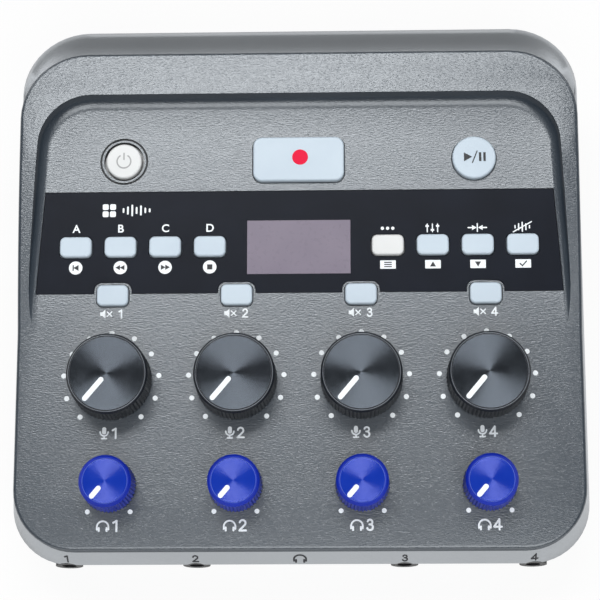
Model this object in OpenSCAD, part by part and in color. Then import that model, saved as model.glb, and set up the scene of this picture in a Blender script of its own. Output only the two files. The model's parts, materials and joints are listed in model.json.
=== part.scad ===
// Four-channel podcast recorder: tilted control panel in a horseshoe rim over a flared case.
// Millimetres, +Z up, +Y to the rear, origin at the middle of the footprint on the table.
// Panel pieces are drawn in the panel's own frame: x across, y to the rear, z out of the panel,
// with its origin on the panel surface at the middle of the gain-knob row.

/* [Case and panel] */
// Tilt of the control panel towards the user, degrees
panel_tilt = 5; // [4:0.5:6]
// Height of the cover's front edge above the table
front_edge_height = 27; // [26.5:0.25:28]
// Gain-knob row to the cover's front edge
gain_to_front = 42; // [41.5:0.25:43]
// Gain-knob row to the rim's rear edge
gain_to_rear = 83.5; // [82.5:0.25:84]
// Width of the top cover
cover_width = 140.5; // [139:0.5:142]
// Width of the case at its belt, the widest line of its walls
base_width = 143.6; // [143:0.2:146]
// Gain-knob row to the belt of the front wall
base_front_reach = 43.6; // [43.3:0.1:44.6]
// Gain-knob row to the rear wall
base_rear_reach = 93.7; // [93.2:0.1:94.6]
// Height of the belt above the table
belt_height = 17; // [16.5:0.25:17.5]
// Set-in of the front wall's foot under the belt
front_draft = 2.8; // [2.4:0.1:3.2]
// Set-in of the side walls' feet under the belt
side_draft = 1.5; // [1.2:0.1:1.8]
// Plan radius of the two front corners
front_corner = 15; // [14:0.5:16]
// Plan radius of the two rear corners
rear_corner = 17; // [16:0.5:18]
// Rounding of the cover's top edge
cover_edge = 0.9; // [0.7:0.1:1.2]
// Thickness of the cover's panel
cover_thickness = 2.2; // [2:0.1:2.4]
// Wall thickness of the lower case
case_wall = 2.2; // [2:0.1:2.5]
// Floor thickness of the lower case
case_floor = 2.6; // [2.5:0.1:2.8]
// Depth of the cover's skirt at the front
seam_front_drop = 5; // [4.5:0.25:5.5]
// Gap left between the cover and the case
seam_gap = 0.1; // [0.08:0.02:0.2]

/* [Rim] */
// Height of the rim over the panel at its rear
rim_height = 5; // [4.5:0.25:5.5]
// Where the rim's arms start, behind the gain-knob row
rim_start = 12; // [10:0.5:14]
// Flat width of the rim across its rear
rim_band = 11; // [10.5:0.25:11.5]
// Flat width of the rim's arms at their rear
rim_arm = 5.25; // [4.8:0.05:5.6]
// Splay of the recess's sides, degrees
recess_splay = 3; // [2.5:0.1:3.5]
// Plan radius of the recess's rear corners
recess_corner = 13.5; // [12.5:0.5:14.5]
// Run of the cove at the foot of the rim
rim_cove = 2.8; // [2.4:0.1:3.2]

/* [Overlay and display] */
// Front edge of the overlay behind the gain-knob row
overlay_front = 22; // [21.8:0.1:22.3]
// Rear edge of the overlay behind the gain-knob row
overlay_rear = 48.25; // [47.8:0.1:48.7]
// Cover's side to the overlay's side, at the overlay's front
overlay_inset_front = 4.45; // [4.25:0.05:5]
// Cover's side to the overlay's side, at the overlay's rear
overlay_inset_rear = 6.25; // [6.05:0.05:6.8]
// Thickness of the overlay
overlay_thickness = 0.9; // [0.8:0.05:1]
// Width of the display window
window_width = 26; // [25:0.5:27]
// Depth of the display window
window_depth = 13.9; // [13.4:0.1:14.4]
// Middle of the display window behind the gain-knob row
window_row = 33.7; // [33.4:0.1:34]

/* [Buttons] */
// Travel of every push button
key_travel = 0.8; // [0.6:0.05:0.85]
// Gap round a button in its aperture
key_gap = 0.25; // [0.2:0.05:0.35]
// Width of a pad or key button
pad_width = 8; // [7.6:0.1:8.4]
// Depth of a pad or key button
pad_depth = 5.2; // [4.9:0.1:5.5]
// Plan radius of a pad, key or mute button
pad_corner = 1.4; // [1.2:0.1:1.6]
// Height of a pad or key button over the panel
pad_height = 1.2; // [0.9:0.1:1.6]
// Spacing of the pad buttons
pad_pitch = 11.23; // [11:0.05:11.4]
// Innermost pad or key from the middle
pad_inner = 22.3; // [22.1:0.1:22.8]
// Pad and key row behind the gain-knob row
pad_row = 33.9; // [33.6:0.1:34.2]
// Width of a mute button
mute_width = 7.9; // [7.6:0.1:8.2]
// Depth of a mute button
mute_depth = 5.3; // [5:0.1:5.4]
// Height of a mute button over the panel
mute_height = 1.3; // [1:0.1:1.6]
// Mute row behind the gain-knob row
mute_row = 21.4; // [21.2:0.1:21.5]
// Width of the cover's tab round a mute button
mute_tab = 9.5; // [9.3:0.1:9.8]
// Diameter of the power button
power_diameter = 9; // [8.7:0.1:9.3]
// Gap round the power button in its aperture
power_gap = 0.6; // [0.5:0.05:0.7]
// Diameter of the groove round the power button
power_ring = 11.7; // [11.5:0.1:12.2]
// Height of the power button over the panel
power_height = 0.7; // [0.5:0.1:1]
// Power and play buttons from the middle
side_button = 44.25; // [43.5:0.25:45]
// Power, record and play row behind the gain-knob row
top_row = 56.3; // [56:0.1:56.8]
// Diameter of the play button
play_diameter = 11; // [10.5:0.1:11.5]
// Height of the record and play buttons over the panel
top_key_height = 1.5; // [1.2:0.1:2]
// Width of the record button
record_width = 23; // [22:0.5:24]
// Depth of the record button
record_depth = 11.5; // [11:0.1:12]
// Plan radius of the record button
record_corner = 2.3; // [1.8:0.1:2.8]

/* [Knobs] */
// Spacing of the four channels
channel_pitch = 31; // [30.5:0.1:31.5]
// Radius of a gain knob at its foot
gain_radius = 10.2; // [9.9:0.1:10.5]
// Radius of a gain knob under its chamfer
gain_top_radius = 9.8; // [9.5:0.1:9.9]
// Height of a gain knob's top over the panel
gain_height = 10; // [9.5:0.1:10.5]
// Ribs round a gain knob
gain_ribs = 64; // [56:4:72]
// Headphone row in front of the gain-knob row
phone_row = 26.25; // [26:0.1:26.5]
// Radius of a headphone knob at its foot
phone_radius = 6.7; // [6.5:0.1:7]
// Radius of a headphone knob under its chamfer
phone_top_radius = 6.2; // [6:0.05:6.4]
// Height of a headphone knob's top over the panel
phone_height = 9.8; // [9.4:0.1:10.2]
// Ribs round a headphone knob
phone_ribs = 44; // [40:4:52]
// Depth of the ribs
rib_depth = 0.35; // [0.25:0.05:0.45]
// Gap between a knob's foot and the panel
knob_lift = 0.6; // [0.5:0.1:0.8]
// Radius of a control shaft
shaft_radius = 3; // [2.9:0.05:3.1]
// Running clearance of a shaft in its bushing
shaft_clearance = 0.05; // [0.03:0.01:0.08]
// Flat of the shaft from its axis
shaft_flat = 1.5; // [1.3:0.1:1.7]
// Width of a gain knob's pointer
gain_pointer = 1.3; // [1.1:0.1:1.5]
// Width of a headphone knob's pointer
phone_pointer = 1.05; // [0.9:0.05:1.2]
// Pointer at the lowest setting, degrees anticlockwise from the rear
pointer_rest = 140; // [135:1:145]

/* [Sockets] */
// Bore of the headphone and side jacks
jack_bore = 3.6; // [3.55:0.01:3.65]
// Depth of a jack's bore
jack_depth = 12; // [11.5:0.25:12.5]
// Height of the headphone jacks' axes above the table
jack_axis_height = 14; // [13.8:0.1:14.1]
// Height of the side jacks' axes above the table
side_axis_height = 16.5; // [16.3:0.1:16.8]
// Collar diameter of a headphone jack
phone_collar = 6.8; // [6.6:0.1:7]
// Inner headphone jacks from the middle
phone_jack_inner = 25.8; // [25.4:0.1:26.2]
// Outer headphone jacks from the middle
phone_jack_outer = 57.6; // [57:0.1:57.8]
// Collar diameter of a side jack
side_collar = 5.8; // [5.6:0.1:6]
// Rear side jack behind the gain-knob row
side_jack_rear = 7.6; // [7.2:0.1:8]
// Front side jack in front of the gain-knob row
side_jack_front = 5.7; // [5.3:0.1:6.1]
// Spacing of the microphone sockets
mic_pitch = 32; // [31.5:0.1:32.5]
// Height of the microphone sockets' axes above the table
mic_axis_height = 16.8; // [16.6:0.1:17.2]
// Outer diameter of a microphone socket
mic_outer = 22; // [21.8:0.1:22.4]
// Bore of a microphone socket's shell
mic_bore = 19.2; // [19:0.05:19.4]
// Diameter of a microphone socket's insert
mic_insert = 15.6; // [15.4:0.05:15.8]
// Depth of a microphone socket
mic_depth = 12.9; // [12.5:0.1:13.2]
// Diameter of a microphone contact's bore
mic_contact_bore = 2.5; // [2.4:0.05:2.6]
// Distance of the contacts from the socket's axis
mic_contact_circle = 4; // [3.8:0.1:4.2]
// Width of the data socket
usb_width = 9; // [8.9:0.05:9.1]
// Height of the data socket
usb_height = 3.2; // [3.1:0.05:3.3]
// Width of the memory card slot
card_width = 24.4; // [24.2:0.1:24.8]
// Height of the memory card slot
card_height = 2.4; // [2.3:0.05:2.6]

/* [Underside] */
// Height of the feet below the case
foot_height = 1.8; // [1.6:0.1:1.9]
// Radius of a foot
foot_radius = 6; // [5.5:0.25:6.5]
// Feet from the middle, across
foot_x = 56; // [54:0.5:58]
// Feet from the middle, front to rear
foot_y = 55; // [54:0.5:56]
// Diameter of a battery cell
cell_diameter = 14.2; // [14:0.1:14.5]
// Length of a battery cell's can
cell_length = 49.2; // [48.8:0.1:49.4]
// Travel of the battery door
door_travel = 5; // [4:0.25:5.5]
// Width of the battery door
door_width = 60; // [59.5:0.25:60.5]
// Thickness of the battery door
door_thickness = 1.6; // [1.5:0.05:1.65]

/* [Hidden] */

$fn = 48;
// Overshoot of a cut past a face
cut = 0.5;
// Bearing gap between pieces that rest on each other
rest_gap = 0.05;

base_depth = base_front_reach + base_rear_reach;
base_half = base_width / 2;
cover_half = cover_width / 2;
gain_row_y = base_front_reach - base_depth / 2;
gain_row_z = front_edge_height + gain_to_front * sin(panel_tilt);
cover_length = gain_to_front + gain_to_rear;
recess_half = cover_half - rim_arm;
overlay_half_front = cover_half - overlay_inset_front;
overlay_half_rear = cover_half - overlay_inset_rear;
rim_hollow_half = cover_half - 20.25;
seam_angle = atan2(seam_front_drop, cover_length);
floor_top = foot_height + case_floor;

// Levels below the panel surface
overlay_bed = overlay_thickness + rest_gap;
flange_top = cover_thickness + 0.1;
flange_thickness = 0.8;
flange_reach = 0.8;
stem_drop = 0.3;
board_thickness = 1.6;
panel_board_top = 8;
panel_board_low = panel_board_top + board_thickness;
panel_board_front = gain_to_front - 9;
panel_board_rear = gain_to_rear - 20;
panel_board_half = cover_half - 9.75;
switch_side = 6;
switch_height = 3;
plunger_top = flange_top + flange_thickness + stem_drop + key_travel + 0.15;
pot_top = 2.6;
gain_pot_side = 12;
phone_pot_side = 10;
bushing_radius = shaft_radius + 0.7;
bushing_top = 0.4;
collar_radius = 4;
collar_low = 5;
collar_top = 4.2;

// Board and socket levels above the table
main_board_low = 9.1;
main_board_top = main_board_low + board_thickness;
main_board_front = 6.6 - base_depth / 2;
main_board_rear = gain_row_y + 32.5;
main_board_half = base_half - 7.4;
jack_length = 13;
phone_jack_face = 0.3 - base_depth / 2;
side_jack_face = base_half - 0.05;
mic_face = base_depth / 2 - 0.6;
mic_back = 7.8;
input_board_rear = mic_face - mic_depth - mic_back;
input_board_front = input_board_rear - board_thickness;
input_board_half = base_half - 10.4;
input_board_top = mic_axis_height + 12.2;
usb_face = base_half - 1.2;
card_face = base_half - 3.2;
card_y = gain_row_y + 5;
usb_y = gain_row_y + 25.8;

// Battery bay under the display
bay_half = 28;
bay_depth = 30.4;
bay_wall = 1.4;
bay_y = gain_row_y + 51.5;
bay_top = 19.4;
cell_y = cell_diameter / 2 + 0.35;
cell_z = foot_height + door_thickness + 0.35 + cell_diameter / 2;
door_length = bay_depth + 4.2;
door_gap = 0.2;
tongue_reach = 1.1;
tongue_thickness = 0.8;

// Round of the rear shoulder: set-in, height over the gain row, growth of half width and corner
SHOULDER = [[0.3, 0.3, 1.1, 1], [1.1, 2.9, 0.8, 0], [3.1, 4.7, 0.3, 0]];

// Screws
case_screw_x = min(cover_half - 6, base_half - 7.55);
case_screw_front = gain_row_y - gain_to_front / 2;
case_screw_rear = gain_row_y + gain_to_rear - 21;
case_screw_seat = 6;
case_boss_top = 17.9;
screw_gap = 0.1;

CHANNELS = [-1.5, -0.5, 0.5, 1.5];
PADS = [for (i = [3:-1:0]) -pad_inner - i * pad_pitch];
KEYS = [for (i = [0:3]) pad_inner + i * pad_pitch];
PANEL_SCREWS = [
  for (x = [-1, 1])
    each [[x * channel_pitch, 10], [x * channel_pitch, -16], [x * (panel_board_half - 4.5), panel_board_rear - 16]]
];
MAIN_SCREWS = [
  for (x = [-1, 1])
    each [[x * (main_board_half - 25), case_screw_front], [x * (main_board_half - 25), main_board_rear - 7.5]]
];
MICS = [for (c = CHANNELS) c * mic_pitch];
PHONE_JACKS = [-phone_jack_outer, -phone_jack_inner, phone_jack_inner, phone_jack_outer];
SIDE_JACKS = [gain_row_y + side_jack_rear, gain_row_y - side_jack_front];

// Height of the panel frame's level w at a place y
function panel_z(y, w) = gain_row_z + (y - gain_row_y) * tan(panel_tilt) + w / cos(panel_tilt);

PLASTIC = [0.2, 0.21, 0.23];
SMOOTH = [0.68, 0.69, 0.7];
WHITE = [0.9, 0.92, 0.94];
STEEL = [0.7, 0.7, 0.72];
BOARD = [0.1, 0.35, 0.2];

// Places children on the tilted panel
module on_panel() {
  translate([0, gain_row_y, gain_row_z])
    rotate([panel_tilt, 0, 0])
      children();
}

// Places children on the parting plane of cover and case, its origin at the front
module on_seam() {
  on_panel()
    translate([0, -gain_to_front, -seam_front_drop])
      rotate([seam_angle, 0, 0])
        children();
}

// Places children on the panel at a channel
module at_channel(c, row) {
  on_panel()
    translate([c * channel_pitch, row, 0])
      children();
}

// Rectangle with round corners, about its middle
module round_rect(w, d, r) {
  square([w - 2 * r, d], center = true);
  square([w, d - 2 * r], center = true);
  for (x = [-1, 1], y = [-1, 1])
    translate([x * (w / 2 - r), y * (d / 2 - r)])
      circle(r, $fn = 32);
}

// Four corner posts of a rounded outline: half width, front, rear, radii, height
module posts(half, front, rear, rf, rr, h) {
  for (x = [-1, 1]) {
    translate([x * (half - rf), front + rf, 0])
      cylinder(r = rf, h = h);
    translate([x * (half - rr), rear - rr, 0])
      cylinder(r = rr, h = h);
  }
}

// Rear edge of a rounded outline as a thin strip: half width, rear, corner radius
module rear_strip(half, rear, r) {
  linear_extrude(0.1)
    polygon([
      for (x = [1, -1], a = [0:7.5:90])
        let (t = x > 0 ? a : 90 - a)
          [x * (half - r + r * cos(t)), rear - r + r * sin(t)]
    ]);
}

// Ring of an edge rounding at a corner post
module edge_ring(r, e, top) {
  rotate_extrude()
    translate([r - e, top - e])
      circle(e, $fn = 24);
}

// Lower case

// Outer form of the case, grown inwards by an inset
module case_form(inset, low, seam_top) {
  hull() {
    for (s = [[low, 1], [low + 1, 0]])
      translate([0, 0, s[0]])
        posts(base_half - side_draft - s[1] - inset, front_draft + s[1] + inset - base_depth / 2,
          base_depth / 2 - s[1] - inset, front_corner - s[1] - inset, rear_corner + 2 - s[1] - inset, 0.1);
    translate([0, 0, belt_height - 0.1])
      posts(base_half - inset, inset - base_depth / 2, base_depth / 2 - inset,
        front_corner - inset, rear_corner + 2 - inset, 0.1);
    for (s = SHOULDER)
      translate([0, gain_row_y, gain_row_z + s[1] - inset])
        rear_strip(cover_half + s[2] - inset, base_rear_reach - s[0] - inset, rear_corner + s[3] - inset);
    on_seam()
      translate([0, 0, seam_top - 0.1])
        posts(cover_half - 0.3 - inset, 0.3 + inset, cover_length - 0.3 - inset,
          front_corner - inset, rear_corner - inset, 0.1);
  }
}

module battery_bay_walls() {
  translate([-bay_half - bay_wall, bay_y - bay_depth / 2 - bay_wall, foot_height + 0.2])
    cube([2 * (bay_half + bay_wall), bay_depth + 2 * bay_wall, bay_top + bay_wall - foot_height - 0.2]);
}

// Recess and guide grooves of the sliding door, with the finger gap in front of it
module door_recess() {
  length = door_length + door_travel + 2 * door_gap;
  front = bay_y - door_length / 2 - door_travel - door_gap;
  depth = door_thickness + 0.1;
  groove = door_width / 2 + tongue_reach + door_gap;
  translate([-door_width / 2 - door_gap, front, foot_height - cut])
    cube([door_width + 2 * door_gap, length, depth + cut]);
  translate([-groove, front, foot_height + door_thickness - tongue_thickness - 0.1])
    cube([2 * groove, length, tongue_thickness + 0.2]);
}

module case_screw_spots() {
  for (x = [-1, 1], y = [case_screw_front, case_screw_rear])
    translate([x * case_screw_x, y, 0])
      children();
}

module case_openings() {
  for (x = PHONE_JACKS)
    translate([x, -base_depth / 2 - cut, jack_axis_height])
      rotate([-90, 0, 0])
        cylinder(d = phone_collar + 0.4, h = 12);
  for (y = SIDE_JACKS)
    translate([base_half - 8, y, side_axis_height])
      rotate([0, 90, 0])
        cylinder(d = side_collar + 0.4, h = 12);
  for (x = MICS)
    translate([x, base_depth / 2 - 8, mic_axis_height])
      rotate([-90, 0, 0])
        cylinder(d = mic_outer + 0.4, h = 12);
  translate([-base_half, usb_y, main_board_top + usb_height / 2])
    rotate([90, 0, 90])
      translate([0, 0, -cut])
        linear_extrude(8)
          round_rect(usb_width + 1, usb_height + 1, 1.9);
  translate([-base_half - cut, card_y - card_width / 2 - 1.2, main_board_top - 0.2])
    cube([8, card_width + 2.4, card_height + 1.4]);
}

module lower_case() {
  color(SMOOTH)
    difference() {
      union() {
        difference() {
          case_form(0, foot_height, -seam_gap);
          case_form(case_wall, floor_top, 0);
        }
        battery_bay_walls();
        case_screw_spots()
          translate([0, 0, foot_height + 0.2])
            cylinder(r = 4.5, h = case_boss_top - foot_height - 0.2);
        for (p = MAIN_SCREWS)
          translate([p[0], p[1], floor_top - 0.2])
            cylinder(r = 3, h = main_board_low - floor_top + 0.2 - rest_gap);
        for (x = [-1, 1], y = [input_board_front - 1.5 - rest_gap, input_board_rear + rest_gap])
          translate([x * mic_pitch - 4, y, floor_top - 0.2])
            cube([8, 1.5, 3.6]);
      }
      translate([-bay_half, bay_y - bay_depth / 2, foot_height - cut])
        cube([2 * bay_half, bay_depth, bay_top - foot_height + cut]);
      door_recess();
      case_openings();
      case_screw_spots() {
        translate([0, 0, foot_height - cut])
          cylinder(d = 6.4, h = case_screw_seat - foot_height + cut);
        cylinder(d = 3.3, h = case_boss_top + 1);
      }
      for (p = MAIN_SCREWS)
        translate([p[0], p[1], floor_top + 0.4])
          cylinder(d = 2.6 + 2 * screw_gap, h = 10);
      for (x = [-1, 1], y = [-1, 1])
        translate([x * foot_x, y * foot_y, foot_height - cut])
          cylinder(r = foot_radius + 0.1, h = cut + 0.6);
    }
}

// Top cover

module cover_plate() {
  hull() {
    translate([0, 0, -seam_front_drop - 1])
      posts(cover_half, -gain_to_front, gain_to_rear,
        front_corner, rear_corner, seam_front_drop - cover_edge);
    for (x = [-1, 1]) {
      translate([x * (cover_half - front_corner), front_corner - gain_to_front, 0])
        edge_ring(front_corner, cover_edge, 0);
      translate([x * (cover_half - rear_corner), gain_to_rear - rear_corner, 0])
        edge_ring(rear_corner, cover_edge, 0);
    }
  }
}

// Rim with level rear and arms that curve down to the panel
module rim_wedge() {
  run = gain_to_rear - rear_corner - rim_start;
  hull()
    for (x = [-1, 1]) {
      translate([x * (cover_half - rear_corner), gain_to_rear - rear_corner, -2])
        cylinder(r = rear_corner, h = 2);
      translate([x * (cover_half - rear_corner), gain_to_rear - rear_corner, 0])
        edge_ring(rear_corner, cover_edge, rim_height);
      for (t = [0.2:0.2:1])
        translate([x * (cover_half - cover_edge), rim_start + run * (1 - t), 0])
          translate([0, 0, rim_height * (1 - t * t) - cover_edge])
            sphere(cover_edge, $fn = 24);
      translate([x * (cover_half - cover_edge), rim_start, -2])
        cylinder(r = cover_edge, h = 0.4);
    }
}

// Room over the panel inside the rim, with the cove round its foot
module panel_recess() {
  run = gain_to_rear - rim_band - recess_corner + gain_to_front + 20;
  side = recess_half - recess_corner / cos(recess_splay) + recess_corner * tan(recess_splay);
  turns = 6;
  sweep = 84;
  arc = [for (i = [0:turns]) rim_cove * [1 - sin(sweep * i / turns), 1 - cos(sweep * i / turns)]];
  wall = concat(arc, [[-0.1, rim_height + 1]]);
  radii = [for (step = wall) recess_corner - step[0]];
  translate([0, gain_to_rear - rim_band - recess_corner, 0])
    hull()
      for (x = [-1, 1], y = [0, 1], i = [1:turns + 1])
        translate([x * (side + y * run * tan(recess_splay)), -y * run, wall[i - 1][1]])
          cylinder(r1 = radii[i - 1], r2 = radii[i], h = wall[i][1] - wall[i - 1][1]);
}

module overlay_outline(gap) {
  difference() {
    polygon([
      [-overlay_half_front - gap, overlay_front - gap],
      [overlay_half_front + gap, overlay_front - gap],
      [overlay_half_rear + gap, overlay_rear + gap],
      [-overlay_half_rear - gap, overlay_rear + gap]
    ]);
    for (c = CHANNELS)
      translate([c * channel_pitch, mute_row])
        round_rect(mute_tab - 2 * gap, mute_depth + 1.6 - 2 * gap, 2);
  }
}

module pad_apertures(gap, h) {
  for (x = concat(PADS, KEYS))
    translate([x, pad_row, 0])
      linear_extrude(h)
        round_rect(pad_width + 2 * gap, pad_depth + 2 * gap, pad_corner + gap);
}

module cover_openings() {
  translate([0, 0, -cover_thickness - cut]) {
    pad_apertures(key_gap, 2 * cover_thickness);
    for (c = CHANNELS) {
      translate([c * channel_pitch, mute_row, 0])
        linear_extrude(2 * cover_thickness)
          round_rect(mute_width + 2 * key_gap, mute_depth + 2 * key_gap, pad_corner + key_gap);
      translate([c * channel_pitch, 0, 0])
        cylinder(r = bushing_radius + 0.3, h = 2 * cover_thickness);
      translate([c * channel_pitch, -phone_row, 0])
        cylinder(r = bushing_radius + 0.3, h = 2 * cover_thickness);
    }
    translate([0, top_row, 0])
      linear_extrude(2 * cover_thickness)
        round_rect(record_width + 2 * key_gap, record_depth + 2 * key_gap, record_corner + key_gap);
    translate([-side_button, top_row, 0])
      cylinder(d = power_diameter + 2 * power_gap, h = 2 * cover_thickness);
    translate([side_button, top_row, 0])
      cylinder(d = play_diameter + 2 * key_gap, h = 2 * cover_thickness);
    translate([0, window_row, 0])
      linear_extrude(2 * cover_thickness)
        square([window_width + 2, window_depth + 1.6], center = true);
  }
  translate([0, 0, -overlay_bed])
    linear_extrude(overlay_bed + 3)
      overlay_outline(0.12);
  translate([-side_button, top_row, -0.4])
    difference() {
      cylinder(d = power_ring + 0.5, h = 2);
      translate([0, 0, -cut])
        cylinder(d = power_ring - 0.5, h = 3);
    }
}

// Rounded outline of the cover as a solid, moved in from the skirt by an inset
module cover_core(inset, low, high) {
  half = cover_half - inset;
  front = inset - gain_to_front;
  rear = gain_to_rear - inset;
  rf = front_corner - inset;
  rr = rear_corner - inset;
  translate([0, 0, low])
    linear_extrude(high - low) {
      translate([-half, front + rf])
        square([2 * half, rear - rr - front - rf]);
      translate([rf - half, front])
        square([2 * (half - rf), rf + 1]);
      translate([rr - half, rear - rr - 1])
        square([2 * (half - rr), rr + 1]);
      for (x = [-1, 1]) {
        translate([x * (half - rf), front + rf])
          circle(rf);
        translate([x * (half - rr), rear - rr])
          circle(rr);
      }
    }
}

// Moulded shell: plate and rim, less the recess, the hollow and what lies below the seam
module cover_shell() {
  difference() {
    union() {
      cover_plate();
      rim_wedge();
    }
    panel_recess();
    cover_core(case_wall, -20, -cover_thickness);
    difference() {
      translate([0, -gain_to_front, -seam_front_drop])
        rotate([seam_angle, 0, 0])
          translate([-cover_half - 5, -10, -20])
            cube([cover_width + 10, cover_length + 20, 20]);
      cover_core(case_wall + seam_gap + 0.3, -30, rim_height);
    }
    translate([-rim_hollow_half, gain_to_rear - rim_band + 1.6, -10])
      cube([2 * rim_hollow_half, rim_band - 4, 10 + rim_height - cover_thickness]);
  }
}

module top_cover() {
  color(PLASTIC)
    difference() {
      union() {
        on_panel()
          resize([cover_width, 0, 0])
            cover_shell();
        on_panel()
          for (p = PANEL_SCREWS)
            translate([p[0], p[1], rest_gap - panel_board_top])
              cylinder(r = 2.6, h = panel_board_top - cover_thickness + 0.2);
        for (x = [-1, 1], y = [case_screw_front, case_screw_rear])
          translate([x * case_screw_x, y, case_boss_top + rest_gap])
            cylinder(r = 3.2, h = panel_z(y, 0.9 - cover_thickness) - case_boss_top);
      }
      on_panel()
        cover_openings();
      on_panel()
        for (p = PANEL_SCREWS)
          translate([p[0], p[1], -panel_board_top - cut])
            cylinder(d = 2 + 2 * screw_gap, h = 6);
      case_screw_spots()
        translate([0, 0, case_boss_top - cut])
          cylinder(d = 2.9 + 2 * screw_gap, h = 7.5);
    }
}

// Overlay and display

module display_overlay() {
  color([0.05, 0.05, 0.06])
    on_panel()
      translate([0, 0, -overlay_bed])
        difference() {
          linear_extrude(overlay_thickness)
            overlay_outline(0);
          translate([0, 0, -cut])
            pad_apertures(key_gap, 2);
          translate([0, window_row, -cut])
            linear_extrude(2)
              square([window_width, window_depth], center = true);
        }
}

module display_window() {
  color([0.6, 0.57, 0.63])
    on_panel()
      translate([0, window_row, -overlay_bed])
        linear_extrude(overlay_thickness)
          square([window_width - 0.1, window_depth - 0.1], center = true);
}

module display_module() {
  body_top = cover_thickness + 0.2;
  color([0.15, 0.15, 0.17])
    on_panel() {
      translate([0, window_row, -body_top - 0.2])
        linear_extrude(body_top + 0.2 - overlay_bed)
          square([window_width + 1.4, window_depth + 1], center = true);
      translate([0, window_row + 0.3, -panel_board_top])
        linear_extrude(panel_board_top - body_top)
          square([33, window_depth + 3.2], center = true);
    }
}

// Push buttons: a cap with a flange that the cover holds down and a stem over its switch

module key_foot(w, d, r) {
  translate([0, 0, -flange_top - flange_thickness])
    linear_extrude(flange_thickness)
      round_rect(w + 2 * flange_reach, d + 2 * flange_reach, r);
  translate([0, 0, -flange_top - flange_thickness - stem_drop])
    cylinder(d = 3, h = stem_drop + 0.2);
}

module key_cap(w, d, r, top) {
  hull() {
    translate([0, 0, -flange_top - 0.3])
      linear_extrude(flange_top + 0.3 + top - 0.5)
        round_rect(w, d, r);
    translate([0, 0, top - 0.21])
      linear_extrude(0.01)
        round_rect(w - 0.3, d - 0.3, r - 0.15);
    translate([0, 0, top - 0.01])
      linear_extrude(0.01)
        round_rect(w - 1, d - 1, r - 0.5);
  }
  key_foot(w, d, r);
}

module round_cap(diameter, top) {
  r = diameter / 2;
  rotate_extrude()
    polygon([
      [0, -flange_top - 0.3], [r, -flange_top - 0.3], [r, top - 0.5],
      [r - 0.15, top - 0.2], [r - 0.5, top], [0, top]
    ]);
  translate([0, 0, -flange_top - flange_thickness])
    cylinder(r = r + flange_reach, h = flange_thickness);
  translate([0, 0, -flange_top - flange_thickness - stem_drop])
    cylinder(d = 3, h = stem_drop + 0.2);
}

module power_button() {
  color(WHITE)
    on_panel()
      translate([-side_button, top_row, 0])
        round_cap(power_diameter, power_height);
}

module record_button() {
  color(WHITE)
    on_panel()
      translate([0, top_row, 0])
        key_cap(record_width, record_depth, record_corner, top_key_height);
}

module play_button() {
  color(WHITE)
    on_panel()
      translate([side_button, top_row, 0])
        round_cap(play_diameter, top_key_height);
}

module pad(x) {
  color(WHITE)
    on_panel()
      translate([x, pad_row, 0])
        key_cap(pad_width, pad_depth, pad_corner, pad_height);
}

module pad_a() {
  pad(PADS[0]);
}

module pad_b() {
  pad(PADS[1]);
}

module pad_c() {
  pad(PADS[2]);
}

module pad_d() {
  pad(PADS[3]);
}

module key_1() {
  pad(KEYS[0]);
}

module key_2() {
  pad(KEYS[1]);
}

module key_3() {
  pad(KEYS[2]);
}

module key_4() {
  pad(KEYS[3]);
}

module mute(c) {
  color(WHITE)
    at_channel(c, mute_row)
      key_cap(mute_width, mute_depth, pad_corner, mute_height);
}

module mute_1() {
  mute(CHANNELS[0]);
}

module mute_2() {
  mute(CHANNELS[1]);
}

module mute_3() {
  mute(CHANNELS[2]);
}

module mute_4() {
  mute(CHANNELS[3]);
}

// Knobs: ribbed and tapered, hollow below, with a D bore on the shaft and a pointer groove

module shaft_section(gap) {
  intersection() {
    circle(shaft_radius + gap);
    translate([-5, shaft_flat + gap - 10])
      square([10, 10]);
  }
}

module rib_section(r, ribs) {
  polygon([
    for (i = [0:2 * ribs - 1])
      let (a = i * 180 / ribs, q = i % 2 == 0 ? r : r - rib_depth)
        [q * cos(a), q * sin(a)]
  ]);
}

module knob(foot, head, top, ribs, dish_radius, dish, pointer, from, to) {
  chamfer = 0.6;
  hub_low = 1;
  color([0.12, 0.12, 0.13])
    difference() {
      union() {
        difference() {
          union() {
            translate([0, 0, knob_lift])
              linear_extrude(top - chamfer - knob_lift, scale = head / foot)
                rib_section(foot, ribs);
            translate([0, 0, top - chamfer - 0.1])
              cylinder(r1 = head + 0.15, r2 = head - 0.4, h = chamfer + 0.1);
          }
          translate([0, 0, knob_lift - cut])
            cylinder(r = foot - 1.8, h = top - 3.5);
        }
        translate([0, 0, hub_low])
          cylinder(r = shaft_radius + 0.9, h = top - 2.5);
      }
      translate([0, 0, top - dish])
        cylinder(r = dish_radius, h = 2);
      translate([0, 0, hub_low - cut])
        linear_extrude(top - 2.4 - hub_low + cut)
          shaft_section(0.02);
      rotate([0, 0, pointer_rest])
        translate([-pointer / 2, from, top - dish - 0.35])
          cube([pointer, to - from, 2]);
    }
}

module gain_knob(c) {
  at_channel(c, 0)
    knob(gain_radius, gain_top_radius, gain_height, gain_ribs,
      gain_top_radius - 0.7, 0.15, gain_pointer, 1.4, 8.7);
}

module gain_knob_1() {
  gain_knob(CHANNELS[0]);
}

module gain_knob_2() {
  gain_knob(CHANNELS[1]);
}

module gain_knob_3() {
  gain_knob(CHANNELS[2]);
}

module gain_knob_4() {
  gain_knob(CHANNELS[3]);
}

module phone_knob(c) {
  at_channel(c, -phone_row)
    knob(phone_radius, phone_top_radius, phone_height, phone_ribs,
      phone_top_radius - 0.65, 0.3, phone_pointer, 1.7, 5.2);
}

module phone_knob_1() {
  phone_knob(CHANNELS[0]);
}

module phone_knob_2() {
  phone_knob(CHANNELS[1]);
}

module phone_knob_3() {
  phone_knob(CHANNELS[2]);
}

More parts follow.
